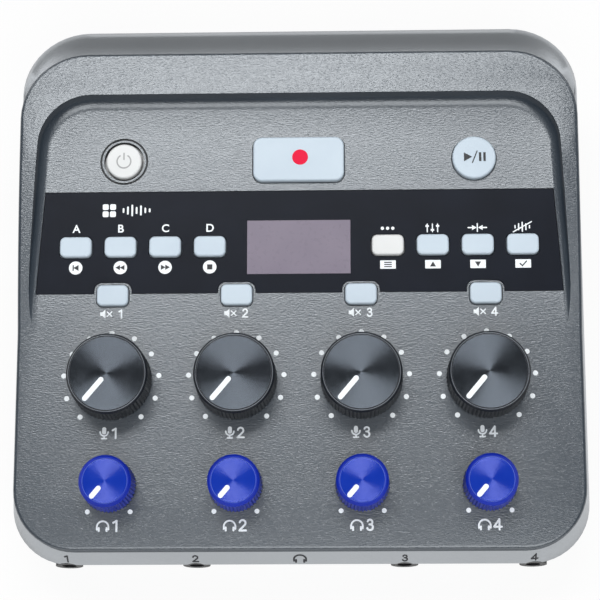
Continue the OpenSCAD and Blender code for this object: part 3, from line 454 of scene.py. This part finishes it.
class Print:
    """Flat marks drawn in their own plane, in millimetres, and then laid on a surface."""

    def __init__(self, name, finish, thick=0.05, body="case", slot="button_white"):
        self.name, self.finish, self.thick, self.body, self.slot = name, finish, thick, body, slot
        self.form = bmesh.new()
        self.layers = 0

    def area(self, outline):
        """A filled outline, raised by the ink's thickness and some steps."""
        self.layers += 1
        top = self.thick + INK_STEP * (self.layers % INK_STEPS)
        low = [self.form.verts.new((x, y, -self.thick)) for x, y in outline]
        high = [self.form.verts.new((x, y, top)) for x, y in outline]
        self.form.faces.new(high)
        self.form.faces.new(low[::-1])
        for i in range(len(low)):
            j = (i + 1) % len(low)
            self.form.faces.new((low[i], low[j], high[j], high[i]))
        return self

    def disc(self, x, y, radius, steps=32):
        """A round spot about x, y."""
        turns = [math.tau * i / steps for i in range(steps)]
        return self.area([(x + radius * math.cos(t), y + radius * math.sin(t)) for t in turns])

    def box(self, x, y, width, height, corner=0.0, steps=5):
        """A rectangle about x, y, with rounded corners if they have a radius."""
        if not corner:
            corners = [(-1, -1), (1, -1), (1, 1), (-1, 1)]
            return self.area([(x + a * width / 2, y + b * height / 2) for a, b in corners])
        outline = []
        for quarter, (a, b) in enumerate([(1, 1), (-1, 1), (-1, -1), (1, -1)]):
            middle_x = x + a * (width / 2 - corner)
            middle_y = y + b * (height / 2 - corner)
            for i in range(steps + 1):
                turn = math.pi / 2 * (quarter + i / steps)
                outline.append((middle_x + corner * math.cos(turn), middle_y + corner * math.sin(turn)))
        return self.area(outline)

    def stroke(self, points, width, steps=6):
        """A line of that width with round ends."""
        half, path = width / 2, [Vector(p) for p in points]
        sides = []
        for i, point in enumerate(path):
            before = (point - path[i - 1]).normalized() if i else (path[1] - point).normalized()
            after = (path[i + 1] - point).normalized() if i + 1 < len(path) else before
            along = (before + after).normalized()
            across = Vector((-along.y, along.x))
            sides.append(across * half / max(0.5, along.dot(before)))
        last = (path[-1] - path[-2]).normalized()
        first = (path[0] - path[1]).normalized()
        outline = [p - s for p, s in zip(path, sides)]
        outline += [path[-1] + round_end(last, half, i / steps) for i in range(1, steps)]
        outline += [p + s for p, s in zip(path[::-1], sides[::-1])]
        outline += [path[0] + round_end(first, half, i / steps) for i in range(1, steps)]
        return self.area([(p.x, p.y) for p in outline])

    def bar(self, x, y, tall, width):
        """An upright stroke about x, y."""
        return self.stroke([(x, y - tall / 2), (x, y + tall / 2)], width)

    def arc(self, x, y, radius, start, end, width, steps=20):
        """A stroke along part of a circle, from start to end in degrees."""
        turns = [math.radians(start + (end - start) * i / steps) for i in range(steps + 1)]
        return self.stroke([(x + radius * math.cos(t), y + radius * math.sin(t)) for t in turns], width)

    def glyph(self, sign, x, y, height, weight=0.018):
        """A letter, centred on x, y and made bolder by weight."""
        text = bpy.data.curves.new(sign, "FONT")
        text.body, text.offset = sign, weight
        holder = bpy.data.objects.new(sign, text)
        mesh = bpy.data.meshes.new_from_object(holder)
        bpy.data.objects.remove(holder)
        xs, ys = [v.co.x for v in mesh.vertices], [v.co.y for v in mesh.vertices]
        scale = height / (max(ys) - min(ys))
        middle = (min(xs) + max(xs)) / 2, (min(ys) + max(ys)) / 2
        flat = bmesh.new()
        flat.from_mesh(mesh)
        bmesh.ops.remove_doubles(flat, verts=flat.verts, dist=1e-5)
        bmesh.ops.dissolve_limit(flat, angle_limit=0.01, verts=flat.verts, edges=flat.edges)

        def raised(vert, level):
            across = x + (vert.co.x - middle[0]) * scale
            up = y + (vert.co.y - middle[1]) * scale
            return self.form.verts.new((across, up, level))

        base = {v: raised(v, -self.thick) for v in flat.verts}
        top = {v: raised(v, self.thick) for v in flat.verts}
        for face in flat.faces:
            self.form.faces.new([top[v] for v in face.verts])
            self.form.faces.new([base[v] for v in reversed(face.verts)])
        for rim in [e for e in flat.edges if e.is_boundary]:
            one, two = rim.link_loops[0].vert, rim.link_loops[0].link_loop_next.vert
            self.form.faces.new((base[one], base[two], top[two], top[one]))
        flat.free()
        return self

    def lay(self, place):
        """Maps every point of the marks through place and makes them a piece."""
        for vert in self.form.verts:
            vert.co = place(*vert.co)
        bmesh.ops.recalc_face_normals(self.form, faces=self.form.faces)
        mesh = bpy.data.meshes.new(self.name)
        self.form.to_mesh(mesh)
        self.form.free()
        return settle(draft(self.name, mesh, self.finish), self.body)

    def lay_on_panel(self, height=0.0):
        """Makes the marks a piece at that height over the panel."""
        return self.lay(lambda u, v, w: on_panel(u, v, height + w))


def sized(points, x, y, size):
    """Points of a sign of size 1, moved to x, y and brought to size."""
    return [(x + a * size, y + b * size) for a, b in points]


def draw_numeral(marks, number, x, y, size):
    """One of the numerals 1 to 4, size high."""
    lines = {
        1: [[(-0.2, 0.26), (0.07, 0.43)], [(0.07, 0.43), (0.07, -0.43)]],
        2: [[(0.21, 0.07), (-0.27, -0.42)], [(-0.27, -0.42), (0.29, -0.42)]],
        3: [[(-0.05, 0.04), (0.04, 0.04)]],
        4: [[(0.13, -0.43), (0.13, 0.43)], [(0.13, 0.43), (-0.31, -0.2)], [(-0.31, -0.2), (0.33, -0.2)]],
    }
    bows = {2: [(0, 0.2, 0.24, -35, 170)], 3: [(0, 0.23, 0.2, -90, 165), (0, -0.2, 0.235, -165, 90)]}
    for line in lines[number]:
        marks.stroke(sized(line, x, y, size), NUMERAL_LINE * size)
    for a, b, radius, start, end in bows.get(number, []):
        marks.arc(x + a * size, y + b * size, radius * size, start, end, NUMERAL_LINE * size)


def draw_microphone(marks, x, y, size):
    """A microphone on its stand, size high."""
    line = SIGN_LINE * size
    marks.box(x, y + 0.2 * size, 0.34 * size, 0.6 * size, 0.165 * size)
    marks.arc(x, y + 0.1 * size, 0.33 * size, 180, 360, line)
    marks.stroke(sized([(0, -0.24), (0, -0.42)], x, y, size), line)
    marks.stroke(sized([(-0.2, -0.45), (0.2, -0.45)], x, y, size), line)


def draw_headphones(marks, x, y, size):
    """A headband over two ear pads, size wide."""
    line = SIGN_LINE * size
    marks.arc(x, y - 0.08 * size, 0.43 * size, 0, 180, line)
    for side in (-1, 1):
        marks.stroke(sized([(side * 0.43, -0.08), (side * 0.43, -0.26)], x, y, size), line)
        marks.box(x + side * 0.29 * size, y - 0.26 * size, 0.15 * size, 0.36 * size, 0.07 * size)


def draw_speaker_off(marks, x, y, size):
    """A crossed-out loudspeaker, size high."""
    horn = [(-0.62, -0.2), (-0.38, -0.2), (-0.08, -0.48), (-0.08, 0.48), (-0.38, 0.2), (-0.62, 0.2)]
    marks.area(sized(horn, x, y, size))
    for lean in (-1, 1):
        cross = [(0.12, lean * -0.24), (0.6, lean * 0.24)]
        marks.stroke(sized(cross, x, y, size), CROSS_LINE * size)


def draw_triangle(marks, x, y, size, turn):
    """A triangle with its point at turn degrees."""
    corners = [math.radians(turn + 120 * i) for i in range(3)]
    marks.area([(x + size * math.cos(t), y + size * math.sin(t)) for t in corners])


def channel_marks():
    """Numerals and pictograms printed on the cover for each channel."""
    marks = Print("channel_marks", WHITE_INK)
    dot_reach, dot_radius = 5.25, 0.6
    for number, u in enumerate(CHANNELS, 1):
        draw_speaker_off(marks, u - 1.6, MUTE_LEGEND_ROW, 2.4)
        draw_numeral(marks, number, u + 2.1, MUTE_LEGEND_ROW, 2.3)
        draw_microphone(marks, u - 1.5, GAIN_LEGEND_ROW, 3.0)
        draw_numeral(marks, number, u + 1.15, GAIN_LEGEND_ROW - 0.05, 2.8)
        draw_headphones(marks, u - 1.42, PHONE_LEGEND_ROW, 3.3)
        draw_numeral(marks, number, u + 1.75, PHONE_LEGEND_ROW, 2.95)
        for side in (-1, 1):
            marks.disc(u + side * dot_reach, PHONE_DOT_ROW, dot_radius)
    marks.lay_on_panel()


def overlay_marks():
    """White print on the black overlay: pad letters, key pictograms and the plates under them."""
    marks = Print("overlay_marks", WHITE_INK)
    squares, wave = -47.8, -44.2
    for a in (-0.92, 0.92):
        for b in (-0.92, 0.92):
            marks.box(squares + a, GROUP_ROW + b, 1.5, 1.5, 0.35)
    for i, tall in enumerate((0.8, 1.7, 2.6, 1.4, 2.2, 1.0, 0.6)):
        marks.bar(wave + 1.1 * i, GROUP_ROW, tall, 0.45)
    for letter, u in zip("ABCD", PADS):
        marks.glyph(letter, u, LETTER_ROW, 2.05)
        marks.disc(u, DISC_ROW, 1.7)
    for u in KEYS:
        marks.box(u, PLATE_ROW, 3.9, 2.15, 0.15)
    menu, tone, squeeze, quiet = KEYS
    for i, slider in ((-1, 0.5), (0, -0.5), (1, 0.5)):
        marks.disc(menu + 1.3 * i, SIGN_ROW, 0.42)
        marks.bar(tone + 1.3 * i, SIGN_ROW, 2.0, 0.28)
        marks.box(tone + 1.3 * i, SIGN_ROW + slider, 0.85, 0.5, 0.12)
    for side in (-1, 1):
        draw_triangle(marks, squeeze + side * 0.95, SIGN_ROW, 0.75, 90 + side * 90)
        marks.stroke([(squeeze + side * 2.3, SIGN_ROW), (squeeze + side * 1.3, SIGN_ROW)], 0.32)
    marks.bar(squeeze, SIGN_ROW, 2.0, 0.3)
    quiet_row = SIGN_ROW + 0.1
    for i, tall in enumerate((0.6, 1.5, 2.3, 1.5, 0.6)):
        marks.bar(quiet + 0.9 * (i - 2), quiet_row, tall, 0.34)
    marks.stroke([(quiet - 2.3, quiet_row - 1.3), (quiet + 2.3, quiet_row + 1.3)], 0.3)
    marks.lay_on_panel(OVERLAY_TOP)


def plate_signs():
    """Dark transport and menu signs on the overlay's white discs and plates."""
    signs = Print("plate_signs", BLACK_INK, 0.03, slot="overlay_black")
    back, rewind, forward, stop = PADS
    signs.box(back - 0.62, DISC_ROW, 0.3, 1.4)
    draw_triangle(signs, back + 0.3, DISC_ROW, 0.86, 180)
    for side in (-1, 1):
        draw_triangle(signs, rewind + 0.1 + side * 0.55, DISC_ROW, 0.76, 180)
        draw_triangle(signs, forward - 0.1 + side * 0.55, DISC_ROW, 0.76, 0)
    signs.box(stop, DISC_ROW, 1.3, 1.3)
    menu, up, down, accept = KEYS
    for i in (-1, 0, 1):
        signs.box(menu, PLATE_ROW + 0.55 * i, 1.9, 0.26)
    draw_triangle(signs, up, PLATE_ROW - 0.15, 0.86, 90)
    draw_triangle(signs, down, PLATE_ROW + 0.15, 0.86, 270)
    tick = [(-0.75, 0), (-0.2, -0.55), (0.85, 0.6)]
    signs.stroke(sized(tick, accept, PLATE_ROW, 1), 0.3)
    signs.lay_on_panel(PLATE_TOP)


def button_signs():
    """The record dot, power sign and play sign, each on its own button."""
    dot = Print("record_dot", RED_INK, 0.05, "record_button")
    dot.disc(0.4, TOP_ROW + 0.35, 2.0, 48).lay_on_panel(BUTTON_TOP)
    power = Print("power_sign", GREY_INK, 0.05, "power_button", "button_cream")
    power.arc(-SIDE_BUTTON, TOP_ROW - 0.1, 1.75, 125, 415, 0.36)
    power.bar(-SIDE_BUTTON, TOP_ROW + 1.2, 1.6, 0.36)
    power.lay_on_panel(POWER_TOP)
    play = Print("play_sign", BLACK_INK, 0.05, "play_button", "overlay_black")
    draw_triangle(play, SIDE_BUTTON - 1.9, TOP_ROW, 1.35, 0)
    play.stroke([(SIDE_BUTTON - 0.45, TOP_ROW - 1.5), (SIDE_BUTTON + 0.75, TOP_ROW + 1.5)], 0.28)
    for x in (1.5, 2.6):
        play.box(SIDE_BUTTON + x, TOP_ROW, 0.6, 2.3)
    play.lay_on_panel(BUTTON_TOP)


def front_marks():
    """Dark numerals and headphones on the case's front wall, over the jacks."""
    form = bmesh.new()
    form.from_mesh(frame["nodes"]["lower_case"].data)
    wall = BVHTree.FromBMesh(form)
    form.free()
    marks = Print("front_marks", BLACK_INK, 0.05, slot="overlay_black")
    for number, u in enumerate(JACKS, 1):
        draw_numeral(marks, number, u, FRONT_LEGEND_Z, 2.4)
    draw_headphones(marks, 0, FRONT_LEGEND_Z, 3.5)
    before_wall = -120

    def on_wall(x, z, w):
        hit, normal, _, _ = wall.ray_cast(Vector((x, before_wall, z)) * MM, Vector((0, 1, 0)))
        return hit + normal * w * MM

    marks.lay(on_wall)


# A knob's face has a number of turned rings, its chamfered edge, lightened as a painted highlight, lies
# round it at a level of its own, and its pointer runs between two distances from the axis.
Knob = namedtuple(
    "Knob", "kind row face radius level rings edge edge_radius edge_level pointer pointer_width"
)
KNOBS = (
    Knob(
        kind="gain",
        row=GAIN_ROW,
        face=GAIN_CAP,
        radius=9.08,
        level=9.86,
        rings=46,
        edge=GAIN_EDGE_PAINTED_HIGHLIGHT,
        edge_radius=9.5,
        edge_level=10.02,
        pointer=(2.05, 8.05),
        pointer_width=1.28,
    ),
    Knob(
        kind="phone",
        row=PHONE_ROW,
        face=PHONE_CAP,
        radius=5.36,
        level=9.52,
        rings=28,
        edge=PHONE_EDGE_PAINTED_HIGHLIGHT,
        edge_radius=5.56,
        edge_level=9.64,
        pointer=(2.3, 4.75),
        pointer_width=1.25,
    ),
)
POINTER_REST = math.radians(140)
POINTER_RISE = 0.03
FACE_THICKNESS = 0.06
RING_HEIGHTS = (0.0136, 0.0184)
EDGE_HEIGHT = 0.16
EDGE_CHAMFER = (0.12, 0.1)


def lathe(form, profile, u, v, steps=120):
    """A turned solid about the panel's normal at u, v, from a closed profile of radii and levels."""
    turns = [math.tau * i / steps for i in range(steps)]
    rings = []
    for radius, w in profile:
        around = turns if radius else [0.0]
        ring = [(u + radius * math.cos(t), v + radius * math.sin(t), w) for t in around]
        rings.append([form.verts.new(on_panel(*point)) for point in ring])
    for one, two in zip(rings, rings[1:]):
        for i in range(steps):
            j = (i + 1) % steps
            corners = [one[i % len(one)], one[j % len(one)], two[j % len(two)], two[i % len(two)]]
            form.faces.new(list(dict.fromkeys(corners)))


def turned(name, profile, finish, knob, number):
    """A piece of a knob, turned about the knob's axis."""
    form = bmesh.new()
    lathe(form, profile, CHANNELS[number - 1], knob.row)
    bmesh.ops.remove_doubles(form, verts=form.verts, dist=1e-7)
    bmesh.ops.recalc_face_normals(form, faces=form.faces)
    mesh = bpy.data.meshes.new(name)
    form.to_mesh(mesh)
    form.free()
    settle(draft(name, mesh, finish), f"{knob.kind}_control_{number}")


def knob_cap(knob, number):
    """The face of a knob with its turned rings, and the chamfered edge round it, lightened as a painted
    highlight.
    """
    base = knob.level - FACE_THICKNESS
    profile = [(0.0, base), (knob.radius, base), (knob.radius, knob.level)]
    slopes = 2 * knob.rings
    for i in range(1, slopes):
        ridge = RING_HEIGHTS[i // 2 % 2] if i % 2 else 0.0
        profile.append((knob.radius * (1 - i / slopes), knob.level + ridge))
    profile.append((0.0, knob.level))
    turned(f"{knob.kind}_cap_{number}", profile, knob.face, knob, number)

    outer, top = knob.edge_radius, knob.edge_level
    inset, drop = EDGE_CHAMFER
    ring = [
        (knob.radius, base),
        (outer, top - EDGE_HEIGHT),
        (outer, top - drop),
        (outer - inset, top),
        (knob.radius, knob.level),
        (knob.radius, base),
    ]
    turned(f"{knob.kind}_edge_{number}", ring, knob.edge, knob, number)


def knob_faces():
    """Caps, edges and white pointers of the eight knobs."""
    along = Vector((-math.sin(POINTER_REST), math.cos(POINTER_REST)))
    for number, u in enumerate(CHANNELS, 1):
        for knob in KNOBS:
            knob_cap(knob, number)
            body = f"{knob.kind}_control_{number}"
            pointer = Print(f"{knob.kind}_pointer_{number}", WHITE_INK, 0.04, body)
            ends = [(u + along.x * r, knob.row + along.y * r) for r in knob.pointer]
            pointer.stroke(ends, knob.pointer_width, 10).lay_on_panel(knob.level + POINTER_RISE)


def gain_dots():
    """The scale of dots round each gain knob, instanced by a node tree."""
    tree = bpy.data.node_groups.new("gain_dots", "GeometryNodeTree")
    tree.interface.new_socket("Geometry", in_out="OUTPUT", socket_type="NodeSocketGeometry")
    dots_per_knob, dot_sides = 11, 20
    sizes = {
        "Ring Radius": 11.87,
        "Dot Radius": 0.64,
        "Dot Height": 0.1,
        "Sweep": math.radians(281),
        "Channel Pitch": CHANNEL_PITCH,
    }
    sockets = {}
    for name, value in sizes.items():
        socket = tree.interface.new_socket(name, in_out="INPUT", socket_type="NodeSocketFloat")
        sockets[socket.identifier] = value

    def add(kind, **links):
        node = tree.nodes.new(kind)
        for key, value in links.items():
            socket = node.inputs[socket_name(key)]
            if isinstance(value, bpy.types.NodeSocket):
                tree.links.new(value, socket)
            else:
                socket.default_value = value
        return node.outputs[0]

    size = tree.nodes.new("NodeGroupInput").outputs
    dot = add(
        "GeometryNodeMeshCylinder",
        vertices=dot_sides,
        radius=size["Dot Radius"],
        depth=size["Dot Height"],
    )
    ring = add(
        "GeometryNodeCurveArc",
        resolution=dots_per_knob,
        radius=size["Ring Radius"],
        sweep_angle=size["Sweep"],
    )
    on_ring = add("GeometryNodeInstanceOnPoints", points=ring, instance=dot)
    step = add("ShaderNodeCombineXYZ", x=size["Channel Pitch"])
    row = add("GeometryNodeMeshLine", count=len(CHANNELS), offset=step)
    rows = add("GeometryNodeInstanceOnPoints", points=row, instance=on_ring)
    solid = add("GeometryNodeRealizeInstances", geometry=rows)
    inked = add("GeometryNodeSetMaterial", geometry=solid, material=WHITE_INK.material)
    tree.links.new(inked, tree.nodes.new("NodeGroupOutput").inputs[0])

    piece = draft("gain_dots", bpy.data.meshes.new("gain_dots"), WHITE_INK)
    dots = piece.modifiers.new("gain_dots", "NODES")
    dots.node_group = tree
    for identifier, value in sockets.items():
        dots[identifier] = value
    baked(piece)
    start = math.pi / 2 - sizes["Sweep"] / 2
    for vert in piece.data.vertices:
        channel = round(vert.co.x / CHANNEL_PITCH)
        x, y = vert.co.x - channel * CHANNEL_PITCH, vert.co.y
        u = CHANNELS[channel] + x * math.cos(start) - y * math.sin(start)
        vert.co = on_panel(u, x * math.sin(start) + y * math.cos(start), vert.co.z)
    settle(piece)


# The studio, in metres and watts: each lamp has a name, a place, the lengths of its sides and its power
LAMPS = (
    ("soft_box", (-0.045, 0.27, 0.73), (0.52, 0.25), 2.95),
    ("ceiling", (-0.25, -0.3, 0.95), (1.0, 1.0), 1.0),
    ("front_fill", (0.1, -0.58, 0.72), (0.8, 0.8), 5.6),
    ("left_card", (-0.72, 0.72, 0.56), (0.45, 0.45), 1.2),
    ("right_card", (0.72, 0.72, 0.56), (0.45, 0.45), 1.2),
)
LAMP_AIM = Vector((0, 0, 0.03))
FLOOR_HALF_SIZE = 6
FLOOR_WHITE = 0.9
WORLD_COLOUR = (0.94, 0.97, 1.0, 1.0)
WORLD_STRENGTH = 0.13

# The camera, fitted to the photograph: its lens and sensor, its place and its turns in degrees
LENS = 122.34
SENSOR = 36.0
EYE = (14.621, -157.864, 516.751)
EYE_TURNS = (17.50203, 1.66963, 0.07542)


def white_to_view(finish, share):
    """Mixes white into what the camera, glossy and clear rays see of a surface."""
    rays = ("Is Camera Ray", "Is Glossy Ray", "Is Transmission Ray")
    direct, glossy, clear = (finish.node("ShaderNodeLightPath", out=ray) for ray in rays)
    seen = direct.larger(glossy).larger(clear)
    glow = finish.node("ShaderNodeEmission")
    plain = Tone(finish, finish.surface.outputs[0])
    mixed = finish.node("ShaderNodeMixShader", inputs={0: seen * share, 1: plain, 2: glow})
    finish.feed(finish.tree.nodes["Material Output"], {"Surface": mixed})


def pale_floor():
    """A wide floor of white paper under the object."""
    form = bmesh.new()
    bmesh.ops.create_grid(form, x_segments=1, y_segments=1, size=FLOOR_HALF_SIZE)
    mesh = bpy.data.meshes.new("floor")
    form.to_mesh(mesh)
    form.free()
    paper = Finish("floor_paper", roughness=0.9, specular_ior_level=0.1)
    paper.wear(base_color=paper.mix(paper.noise(30, 2), colour(240, 240, 240), colour(245, 245, 245)))
    white_to_view(paper, FLOOR_WHITE)
    floor = draft("floor", mesh, paper)


def studio_light():
    """A soft box over the rear, a weak ceiling lamp, a front fill, two corner cards and a plain world."""
    for name, place, sides, watts in LAMPS:
        lamp = bpy.data.lights.new(name, "AREA")
        lamp.shape = "RECTANGLE"
        lamp.size, lamp.size_y = sides
        lamp.energy = watts
        holder = bpy.data.objects.new(name, lamp)
        holder.location = place
        holder.rotation_euler = (LAMP_AIM - Vector(place)).to_track_quat("-Z", "Y").to_euler()
        bpy.context.scene.collection.objects.link(holder)
    world = bpy.data.worlds.new("studio")
    world.use_nodes = True
    bpy.context.scene.world = world
    grey = world.node_tree.nodes["Background"]
    grey.inputs["Color"].default_value = WORLD_COLOUR
    grey.inputs["Strength"].default_value = WORLD_STRENGTH


def camera():
    """The photograph's viewpoint, from above the front edge."""
    lens = bpy.data.cameras.new("camera")
    lens.lens, lens.sensor_width = LENS, SENSOR
    eye = bpy.data.objects.new("camera", lens)
    eye.location = Vector(EYE) * MM
    eye.rotation_euler = [math.radians(turn) for turn in EYE_TURNS]
    bpy.context.scene.collection.objects.link(eye)
    bpy.context.scene.camera = eye


skins()
channel_marks()
overlay_marks()
plate_signs()
button_signs()
front_marks()
knob_faces()
gain_dots()
pale_floor()
studio_light()
camera()
bpy.context.scene.view_settings.view_transform = "Standard"
